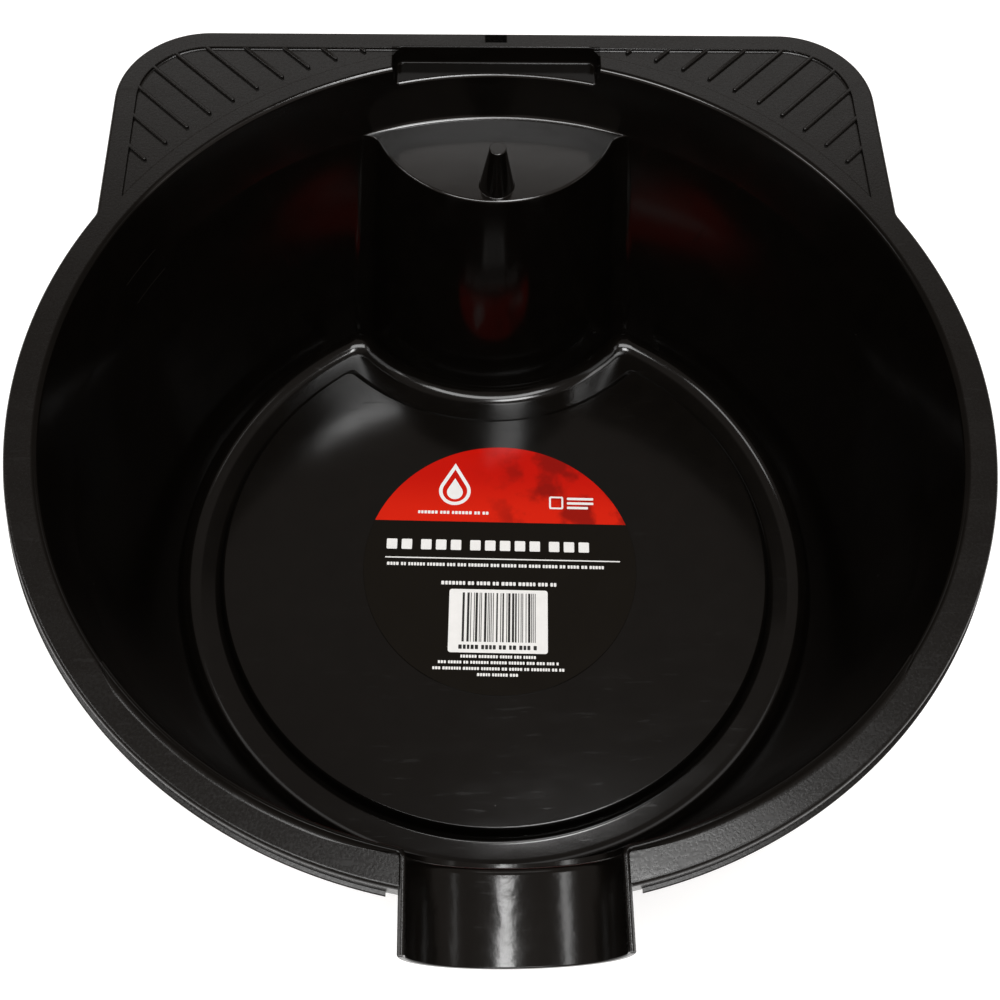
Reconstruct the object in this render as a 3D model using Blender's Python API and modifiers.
"""Oil drain pan: one black moulded shell, and the round label on its floor.

Frame: +Z up, -Y towards the pouring spout, X across. The origin is the centre of the
bounding box's base. The shape is drawn about the basin's own axis and moved at the end.
"""
import math

import bmesh
import bpy
from mathutils import Matrix, Vector

MM = 0.001

# Shell
WALL = 2.1 * MM
DRAFT = 0.19                    # inward lean of every wall, per unit of depth
RIM_TOP = 145.0 * MM            # top face of the flange above the ground
BASIN_R = 164.5 * MM            # inside radius of the wall, carried up to RIM_TOP
RIM_ROUND = 2.0 * MM
GUTTER_Z = WALL                 # inside floor of the gutter
GUTTER_FILLET = 4.5 * MM
GUTTER_FLAT_R = 123.4 * MM      # where the gutter's flat ends, at the disc's foot
DISC_R = 119.5 * MM
DISC_Z = 9.4 * MM
DISC_ROUND = 1.2 * MM

# Filter stand: the wall bulges inwards below a shelf
STAND_Y = 166.8 * MM            # axis of the bulge behind the basin's axis
STAND_R = 54.4 * MM             # radius of the bulge at shelf level
SHELF_Z = 116.8 * MM
SHELF_ROUND = 1.0 * MM
BITE_R = 96.2 * MM              # the disc's rear edge follows the stand at this radius
CORNER_TOP = 6.5 * MM
CORNER_FLOOR = 9.5 * MM
CORNER_DISC = 3.5 * MM

# Peg on the shelf
PEG_Y = 121.6 * MM
PEG_R_BASE = 7.7 * MM
PEG_R_TOP = 3.5 * MM
PEG_H = 22.2 * MM

# Flange, skirt and deck
RIM_R = 176.0 * MM
DECK_X = 155.0 * MM
DECK_Y = 179.6 * MM
DECK_CORNER = 36.5 * MM
DECK_BLEND = 6.0 * MM
FLANGE_T = 2.6 * MM
FLANGE_ROUND = 1.5 * MM
SKIRT_H = 8.5 * MM
SKIRT_T = 2.0 * MM
LIP_OUT = 1.4 * MM
LIP_H = 1.2 * MM
LIP_GAP_X = 39.0 * MM           # the lip stops this far from the centre line at the spout

# Ribbed recess in the deck
BORDER = 8.9 * MM
RECESS = 1.2 * MM
RECESS_R = 172.1 * MM
RECESS_SLOPE = 1.4 * MM
RIB_W = 1.6 * MM
RIB_COUNT = 10
RIB_FIRST = -28.7 * MM          # x + y of the first rib's centre line, for the left side
RIB_PITCH = 15.93 * MM
RIB_TIP_R = 177.5 * MM

# Finger pocket and hanging slot at the rear
POCKET_X = 43.0 * MM
POCKET_Y = 171.3 * MM
POCKET_DEPTH = 7.5 * MM
POCKET_CORNER = 4.5 * MM
SLOT_X = 4.2 * MM
SLOT_Y = (174.5 * MM, 178.5 * MM)

# Spout
SPOUT_X = 33.0 * MM             # inside half width
SPOUT_DEPTH = 24.0 * MM         # inside depth below the rim
SPOUT_WALL = 2.0 * MM
SPOUT_Y = -191.7 * MM
SPOUT_FLARE = 3.0 * MM
BEAD_H = 1.5 * MM
BEAD_IN = 0.4 * MM
BEAD_OUT = 1.7 * MM
BEAD_ANGLE = math.radians(52.5)  # each side of the front

# Fill-level marks on the left rear wall, as depths below the rim
TICK_DEPTHS = [22.7 * MM, 33.7 * MM, 44.5 * MM, 57.8 * MM, 71.5 * MM, 84.0 * MM, 98.2 * MM, 115.6 * MM]
TICK_FROM = math.radians(-65.8)
TICK_TO = math.radians(-58.6)
TICK_W = 1.0 * MM
TICK_OUT = 0.5 * MM

# Label
LABEL_R = 60.4 * MM
LABEL_T = 0.3 * MM
LABEL_GAP = 0.3 * MM
LABEL_AT = (1.8 * MM, -4.0 * MM)

# Facets
N_WALL = 72
N_CORNER = 4
N_STAND = 14
N_REAR = 2 * N_CORNER + N_STAND

# The lip and the spout set the length, so the basin's axis sits off the box's centre.
AXIS_Y = -(DECK_Y + LIP_OUT + SPOUT_Y) / 2


def clear_scene():
    for ob in list(bpy.data.objects):
        bpy.data.objects.remove(ob, do_unlink=True)


def collection(name):
    col = bpy.data.collections.new(name)
    bpy.context.scene.collection.children.link(col)
    return col


def material(name, colour, roughness):
    mat = bpy.data.materials.new(name)
    mat.use_nodes = True
    shader = mat.node_tree.nodes["Principled BSDF"]
    shader.inputs["Base Color"].default_value = (*colour, 1.0)
    shader.inputs["Roughness"].default_value = roughness
    return mat


def finish_mesh(name, bm, col):
    bmesh.ops.remove_doubles(bm, verts=bm.verts, dist=1e-6)
    bmesh.ops.recalc_face_normals(bm, faces=bm.faces)
    mesh = bpy.data.meshes.new(name)
    bm.to_mesh(mesh)
    bm.free()
    ob = bpy.data.objects.new(name, mesh)
    col.objects.link(ob)
    return ob


def loft(name, rings, col, caps=True, closed=True, ring_loop=False):
    """Skin a list of rings that all have the same number of points."""
    bm = bmesh.new()
    loops = [[bm.verts.new(p) for p in ring] for ring in rings]
    n = len(loops[0])
    pairs = list(zip(loops, loops[1:]))
    if ring_loop:
        pairs.append((loops[-1], loops[0]))
    for a, b in pairs:
        for i in range(n if closed else n - 1):
            j = (i + 1) % n
            quad = [a[i], a[j], b[j], b[i]]
            if len({tuple(round(c, 7) for c in v.co) for v in quad}) > 2:
                bm.faces.new(quad)
    if caps:
        bm.faces.new(loops[0])
        bm.faces.new(loops[-1])
    return finish_mesh(name, bm, col)


def modify(ob, other, operation):
    mod = ob.modifiers.new(f"{operation.lower()}_{other.name}", "BOOLEAN")
    mod.operation = operation
    mod.solver = "EXACT"
    mod.object = other


def arc(cx, cy, r, a0, a1, n):
    """n + 1 points from angle a0 to a1, angles from +X."""
    step = (a1 - a0) / n
    return [(cx + r * math.cos(a0 + i * step), cy + r * math.sin(a0 + i * step)) for i in range(n + 1)]


# ---- basin sections ------------------------------------------------------------------

def wall_angle(rw, rc, rho):
    """Fillet centre between the basin circle and the stand circle, right-hand side."""
    y = ((rw - rho) ** 2 - (rc + rho) ** 2 + STAND_Y ** 2) / (2 * STAND_Y)
    return math.sqrt((rw - rho) ** 2 - y ** 2), y


def stand_section(rw, rc, rho, z):
    """Basin circle less the stand circle, counter-clockwise from the right-hand corner."""
    fx, fy = wall_angle(rw, rc, rho)
    out = math.atan2(fy, fx)
    to_stand = math.atan2(STAND_Y - fy, -fx)
    back = math.atan2(fy - STAND_Y, fx)
    corner = arc(fx, fy, rho, out, to_stand, N_CORNER)
    bulge = arc(0, STAND_Y, rc, back, -math.pi - back, N_STAND)
    mirrored = [(-x, y) for x, y in reversed(corner)]
    wall = arc(0, 0, rw, math.pi - out, 2 * math.pi + out, N_WALL)
    return [(x, y, z) for x, y in corner[:-1] + bulge[:-1] + mirrored[:-1] + wall[:-1]]


def round_section(r, start, z):
    """Full circle whose points line up with stand_section's."""
    rear = arc(0, 0, r, start, math.pi - start, N_REAR)
    wall = arc(0, 0, r, math.pi - start, 2 * math.pi + start, N_WALL)
    return [(x, y, z) for x, y in rear[:-1] + wall[:-1]]


def wall_r(z):
    return BASIN_R - DRAFT * (RIM_TOP - z)


def stand_r(z):
    return STAND_R + DRAFT * (SHELF_Z - z)


def corner_rho(z):
    return CORNER_FLOOR + (CORNER_TOP - CORNER_FLOOR) * z / SHELF_Z


def start_angle():
    fx, fy = wall_angle(wall_r(SHELF_Z), STAND_R, CORNER_TOP)
    return math.atan2(fy, fx)


def basin_void(col):
    a0 = start_angle()
    top_r = wall_r(RIM_TOP - RIM_ROUND) + RIM_ROUND
    rings = [round_section(top_r, a0, RIM_TOP + 6 * MM)]
    for i in range(4):
        t = math.radians(30 * i)
        z = RIM_TOP - RIM_ROUND + RIM_ROUND * math.cos(t)
        rings.append(round_section(top_r - RIM_ROUND * math.sin(t), a0, z))
    rings.append(round_section(wall_r(SHELF_Z), a0, SHELF_Z))
    for i in range(3):
        t = math.radians(45 * i)
        z = SHELF_Z - SHELF_ROUND + SHELF_ROUND * math.cos(t)
        inset = SHELF_ROUND * (1 - math.sin(t))
        rings.append(stand_section(wall_r(z), stand_r(z) - inset, corner_rho(z) + inset, z))
    lean = math.atan(DRAFT)
    fz = GUTTER_Z + GUTTER_FILLET
    fr = wall_r(fz) - GUTTER_FILLET / math.cos(lean)
    for i in range(5):
        t = lean + (math.pi / 2 - lean) * i / 4
        z = fz - GUTTER_FILLET * math.sin(t)
        inset = wall_r(0) - fr - GUTTER_FILLET * math.cos(t)
        rings.append(stand_section(wall_r(0) - inset, stand_r(0) + inset, corner_rho(z) - 2 * MM * i / 4, z))
    side = [(GUTTER_FLAT_R, GUTTER_Z), (GUTTER_FLAT_R - 0.9 * MM, GUTTER_Z + 0.5 * MM),
            (GUTTER_FLAT_R - 1.6 * MM, GUTTER_Z + 1.8 * MM), (DISC_R + DISC_ROUND, DISC_Z - DISC_ROUND),
            (DISC_R + 0.35 * DISC_ROUND, DISC_Z - 0.3 * DISC_ROUND), (DISC_R - 0.2 * MM, DISC_Z)]
    for r, z in side:
        rings.append(stand_section(r, BITE_R - (r - DISC_R), CORNER_DISC, z))
    return loft("basin_void", rings, col)


def shell_outside(col):
    a0 = start_angle()
    side_t = WALL * math.sqrt(1 + DRAFT ** 2)
    under = SHELF_Z - WALL
    rings = [round_section(wall_r(z) + side_t, a0, z) for z in (RIM_TOP - 1.0 * MM, under)]
    rho = corner_rho(under) + WALL
    rings.append(stand_section(wall_r(under) + side_t, stand_r(under) - side_t, rho, under))
    lean = math.atan(DRAFT)
    r_out = GUTTER_FILLET + WALL
    fz = GUTTER_Z + GUTTER_FILLET
    fr = wall_r(fz) - GUTTER_FILLET / math.cos(lean)
    for i in range(5):
        t = lean + (math.pi / 2 - lean) * i / 4
        z = fz - r_out * math.sin(t)
        inset = wall_r(0) - fr - r_out * math.cos(t)
        rho = CORNER_FLOOR + WALL - 2 * MM * i / 4
        rings.append(stand_section(wall_r(0) - inset, stand_r(0) + inset, rho, z))
    side = [(GUTTER_FLAT_R - 2.8 * MM, 0.0), (GUTTER_FLAT_R - 3.5 * MM, 0.6 * MM),
            (DISC_R + DISC_ROUND - WALL, DISC_Z - WALL - 1.0 * MM), (DISC_R - WALL, DISC_Z - WALL)]
    for r, z in side:
        rings.append(stand_section(r, BITE_R - (r - DISC_R), CORNER_DISC, z))
    return loft("pan_body", rings, col)


# ---- flange and deck ------------------------------------------------------------------

def outline(inset, z):
    """Plan outline of the flange and deck, moved inwards by inset, counter-clockwise."""
    jx = DECK_X + DECK_BLEND
    jy = math.sqrt((RIM_R + DECK_BLEND) ** 2 - jx ** 2)
    j_out = math.atan2(jy, jx)
    blend = DECK_BLEND + inset
    right = arc(jx, jy, blend, math.pi + j_out, math.pi, 3)
    corner = arc(DECK_X - DECK_CORNER, DECK_Y - DECK_CORNER, DECK_CORNER - inset, 0, math.pi / 2, 9)
    half = right + corner
    left = [(-x, y) for x, y in reversed(half)]
    front = arc(0, 0, RIM_R - inset, math.pi - j_out, 2 * math.pi + j_out, 78)
    return [(x, y, z) for x, y in half + left + front[1:-1]]


def flange(col):
    e = FLANGE_ROUND
    rings = [outline(0, RIM_TOP - SKIRT_H), outline(0, RIM_TOP - e), outline(0.13 * e, RIM_TOP - 0.5 * e),
             outline(0.5 * e, RIM_TOP - 0.13 * e), outline(e, RIM_TOP)]
    block = loft("flange", rings, col)
    hollow = [outline(SKIRT_T, RIM_TOP - SKIRT_H - 2 * MM), outline(SKIRT_T, RIM_TOP - FLANGE_T)]
    modify(block, loft("skirt_hollow", hollow, col), "DIFFERENCE")
    return block


def box(name, low, high, col):
    xs, ys, zs = zip(low, high)
    rings = [[(xs[0], ys[0], z), (xs[1], ys[0], z), (xs[1], ys[1], z), (xs[0], ys[1], z)] for z in zs]
    return loft(name, rings, col)


def skirt_lip(col):
    low, high = RIM_TOP - SKIRT_H, RIM_TOP - SKIRT_H + LIP_H
    rings = [outline(1.2 * MM, low + 0.2 * MM), outline(-LIP_OUT + 0.3 * MM, low + 0.2 * MM),
             outline(-LIP_OUT, low + 0.5 * MM), outline(-LIP_OUT, high), outline(1.2 * MM, high + 0.5 * MM)]
    lip = loft("skirt_lip", rings, col, caps=False, ring_loop=True)
    gap = box("lip_gap", (-LIP_GAP_X, SPOUT_Y, low - 5 * MM), (LIP_GAP_X, -150 * MM, RIM_TOP), col)
    modify(lip, gap, "DIFFERENCE")
    return lip


def recess(col):
    rings = [outline(BORDER + 0.3 * MM, RIM_TOP - RECESS), outline(BORDER, RIM_TOP + 4 * MM)]
    cutter = loft("recess", rings, col)
    island = [[(x, y, z) for x, y in arc(0, 0, r, 0, 2 * math.pi, 120)[:-1]]
              for r, z in ((RECESS_R + RECESS_SLOPE, RIM_TOP - RECESS - 1 * MM),
                           (RECESS_R + RECESS_SLOPE, RIM_TOP - RECESS), (RECESS_R, RIM_TOP),
                           (RECESS_R, RIM_TOP + 6 * MM))]
    modify(cutter, loft("recess_island", island, col), "DIFFERENCE")
    return cutter


def border_hit(c):
    """Where the left-hand line x + y = c meets the recess's outer edge."""
    x_side, y_rear = BORDER - DECK_X, DECK_Y - BORDER
    cx, cy = DECK_CORNER - DECK_X, DECK_Y - DECK_CORNER
    r = DECK_CORNER - BORDER
    k = (c - cx - cy) / 2
    if abs(k) * math.sqrt(2) < r:
        s = math.sqrt(r * r / 2 - k * k)
        x, y = cx + k - s, cy + k + s
        if x < cx and y > cy:
            return x, y
    if c - x_side < cy:
        return x_side, c - x_side
    return c - y_rear, y_rear


def rib_tip(c):
    s = math.sqrt(RIB_TIP_R ** 2 / 2 - c * c / 4)
    return c / 2 - s, c / 2 + s


def ribs(col):
    bm = bmesh.new()
    half = RIB_W / 2
    u = Vector((1, -1, 0)).normalized()
    v = Vector((1, 1, 0)).normalized()
    for i in range(RIB_COUNT):
        c = RIB_FIRST + i * RIB_PITCH
        start = Vector((*border_hit(c), 0)) - u * 2 * MM
        tip = Vector((*rib_tip(c), 0)) - u * half
        end = [tip + half * (u * math.cos(t) + v * math.sin(t)) for t in
               [math.pi * (k / 6 - 0.5) for k in range(7)]]
        plan = [start + v * half, start - v * half] + end
        for side in (1, -1):
            low = [bm.verts.new((side * p.x, p.y, RIM_TOP - RECESS - 0.6 * MM)) for p in plan]
            top = [bm.verts.new((side * p.x, p.y, RIM_TOP - 0.05 * MM)) for p in plan]
            for k in range(len(plan)):
                j = (k + 1) % len(plan)
                bm.faces.new([low[k], low[j], top[j], top[k]])
            bm.faces.new(low)
            bm.faces.new(top)
    return finish_mesh("ribs", bm, col)


# ---- pocket, slot and spout ------------------------------------------------------------

def pocket_ring(grow, y_front, z):
    x, y, r = POCKET_X + grow, POCKET_Y + grow, POCKET_CORNER + grow
    right = arc(x - r, y - r, r, 0, math.pi / 2, 4)
    left = [(-px, py) for px, py in reversed(right)]
    return [(px, py, z) for px, py in [(x, y_front)] + right + left + [(-x, y_front)]]


def pocket_parts(col):
    floor = RIM_TOP - POCKET_DEPTH
    void = [pocket_ring(-1.0 * MM, 130 * MM, floor), pocket_ring(0, 130 * MM, RIM_TOP),
            pocket_ring(0, 130 * MM, RIM_TOP + 5 * MM)]
    solid = [pocket_ring(WALL - 0.5 * MM, 152 * MM, floor - WALL), pocket_ring(WALL, 152 * MM, RIM_TOP - 0.8 * MM)]
    return loft("pocket_shell", solid, col), loft("pocket_void", void, col)


def trough_ring(a, b, y, top, n=18):
    """Half ellipse below the rim, closed straight up to top."""
    low = [(a * math.cos(t), y, RIM_TOP + b * math.sin(t)) for t in
           [-math.pi * i / n for i in range(n + 1)]]
    return [(a, y, RIM_TOP + top)] + low + [(-a, y, RIM_TOP + top)]


def spout_parts(col):
    a, b = SPOUT_X + SPOUT_WALL, SPOUT_DEPTH + SPOUT_WALL
    shell = [trough_ring(a, b, y, -0.3 * MM) for y in (-152 * MM, SPOUT_Y)]
    for ring in shell:
        ring[1] = (ring[1][0], ring[1][1], RIM_TOP - 1.0 * MM)
        ring[-2] = (ring[-2][0], ring[-2][1], RIM_TOP - 1.0 * MM)
    fy = -math.sqrt((BASIN_R + SPOUT_FLARE) ** 2 - (SPOUT_X + SPOUT_FLARE) ** 2)
    void = [trough_ring(SPOUT_X, SPOUT_DEPTH, SPOUT_Y - 10 * MM, 8 * MM)]
    for i in range(5):
        t = math.pi / 2 * i / 4
        grow = SPOUT_FLARE * (1 - math.cos(t))
        void.append(trough_ring(SPOUT_X + grow, SPOUT_DEPTH + grow, fy + SPOUT_FLARE * math.sin(t), 8 * MM))
    grow = SPOUT_FLARE
    void.append(trough_ring(SPOUT_X + grow, SPOUT_DEPTH + grow, -148 * MM, 8 * MM))
    return loft("spout_shell", shell, col), loft("spout_void", void, col)


def bead_path():
    """Wall line from the bead's start to the spout's lip, right-hand side, with outward normals."""
    r = BASIN_R - 0.2 * MM
    fx = SPOUT_X + SPOUT_FLARE
    fy = -math.sqrt((r + SPOUT_FLARE) ** 2 - fx ** 2)
    corner = math.atan2(fx, -fy)
    path = []
    for i in range(15):
        t = BEAD_ANGLE + (corner - BEAD_ANGLE) * i / 14
        n = (math.sin(t), -math.cos(t))
        path.append((r * n[0], r * n[1], n))
    facing = math.atan2(-fy, -fx)
    for i in range(1, 6):
        t = facing + (math.pi - facing) * i / 5
        n = (-math.cos(t), -math.sin(t))
        path.append((fx - SPOUT_FLARE * n[0], fy - SPOUT_FLARE * n[1], n))
    path.append((SPOUT_X, SPOUT_Y + 0.2 * MM, (1.0, 0.0)))
    return path


def bead(col, side):
    profile = [(0.6 * MM, -4.0 * MM), (0.0, -4.0 * MM), (-BEAD_IN, -2.5 * MM), (-BEAD_IN, BEAD_H - 0.5 * MM),
               (0.0, BEAD_H), (BEAD_OUT - 0.4 * MM, BEAD_H), (BEAD_OUT, BEAD_H - 0.5 * MM), (BEAD_OUT, -0.9 * MM)]
    rings = [[(side * (x + n[0] * d), y + n[1] * d, RIM_TOP + h) for d, h in profile]
             for x, y, n in bead_path()]
    return loft("bead_right" if side > 0 else "bead_left", rings, col)


# ---- peg, marks and label ---------------------------------------------------------------

def turned(name, profile, steps, col):
    """Screw a profile, given from top to bottom along its outer side, about Z."""
    bm = bmesh.new()
    verts = [bm.verts.new((r, 0, z)) for r, z in profile]
    for a, b in zip(verts, verts[1:]):
        bm.edges.new((a, b))
    mesh = bpy.data.meshes.new(name)
    bm.to_mesh(mesh)
    bm.free()
    ob = bpy.data.objects.new(name, mesh)
    col.objects.link(ob)
    mod = ob.modifiers.new("turn", "SCREW")
    mod.axis = "Z"
    mod.angle = 2 * math.pi
    mod.steps = steps
    mod.render_steps = steps
    mod.use_merge_vertices = True
    mod.merge_threshold = 0.00001
    return ob


def peg_parts(col):
    top = SHELF_Z + PEG_H
    solid = [(0, top), (PEG_R_TOP - 0.9 * MM, top), (PEG_R_TOP - 0.2 * MM, top - 0.3 * MM),
             (PEG_R_TOP, top - 1.0 * MM), (PEG_R_BASE - 0.4 * MM, SHELF_Z + 1.2 * MM), (PEG_R_BASE, SHELF_Z),
             (PEG_R_BASE, SHELF_Z - 1.0 * MM), (0, SHELF_Z - 1.0 * MM)]
    hollow = [(0, top - 3.0 * MM), (PEG_R_TOP - WALL, top - 3.0 * MM), (PEG_R_BASE - WALL, SHELF_Z),
              (PEG_R_BASE - WALL, SHELF_Z - WALL - 1.5 * MM), (0, SHELF_Z - WALL - 1.5 * MM)]
    parts = turned("peg", solid, 32, col), turned("peg_hollow", hollow, 32, col)
    for ob in parts:
        ob.location.y = PEG_Y
    return parts


def ticks(col):
    bm = bmesh.new()
    steps = 4
    for depth in TICK_DEPTHS:
        z = RIM_TOP - depth
        rings = []
        for i in range(steps + 1):
            t = TICK_FROM + (TICK_TO - TICK_FROM) * i / steps
            ring = []
            for out, dz in ((0.8, -0.5), (0.8, 0.5), (-0.5, 0.3), (-0.5, -0.3)):
                h = z + dz * TICK_W
                r = wall_r(h) + (out * MM if out > 0 else -TICK_OUT)
                ring.append(bm.verts.new((r * math.sin(t), r * math.cos(t), h)))
            rings.append(ring)
        for a, b in zip(rings, rings[1:]):
            for k in range(4):
                j = (k + 1) % 4
                bm.faces.new([a[k], a[j], b[j], b[k]])
        bm.faces.new(rings[0])
        bm.faces.new(rings[-1])
    return finish_mesh("ticks", bm, col)


def label(col):
    low = DISC_Z + LABEL_GAP
    profile = [(0, low + LABEL_T), (LABEL_R, low + LABEL_T), (LABEL_R, low), (0, low)]
    ob = turned("label", profile, 72, col)
    ob.location = (LABEL_AT[0], LABEL_AT[1] + AXIS_Y, 0)
    return ob


def build():
    clear_scene()
    part = collection("oil_drain_pan")
    tools = collection("cutters")

    body = shell_outside(part)
    pocket_shell, pocket_void = pocket_parts(tools)
    spout_shell, spout_void = spout_parts(tools)
    peg, peg_hollow = peg_parts(tools)
    slot = box("hanging_slot", (-SLOT_X, SLOT_Y[0], RIM_TOP - 4 * MM), (SLOT_X, SLOT_Y[1], RIM_TOP + 5 * MM), tools)
    for ob in (flange(tools), skirt_lip(tools), pocket_shell, spout_shell):
        modify(body, ob, "UNION")
    for ob in (basin_void(tools), spout_void, pocket_void, slot, recess(tools)):
        modify(body, ob, "DIFFERENCE")
    for ob in (ribs(tools), peg, bead(tools, 1), bead(tools, -1), ticks(tools)):
        modify(body, ob, "UNION")
    modify(body, peg_hollow, "DIFFERENCE")

    shift = Matrix.Translation((0, AXIS_Y, 0))
    for ob in list(tools.objects) + [body]:
        ob.matrix_world = shift @ ob.matrix_basis
    for ob in tools.objects:
        ob.hide_render = True
        ob.display_type = "WIRE"

    body.data.materials.append(material("pan_plastic", (0.02, 0.02, 0.022), 0.3))
    sticker = label(part)
    sticker.data.materials.append(material("label_film", (0.55, 0.06, 0.03), 0.25))


build()
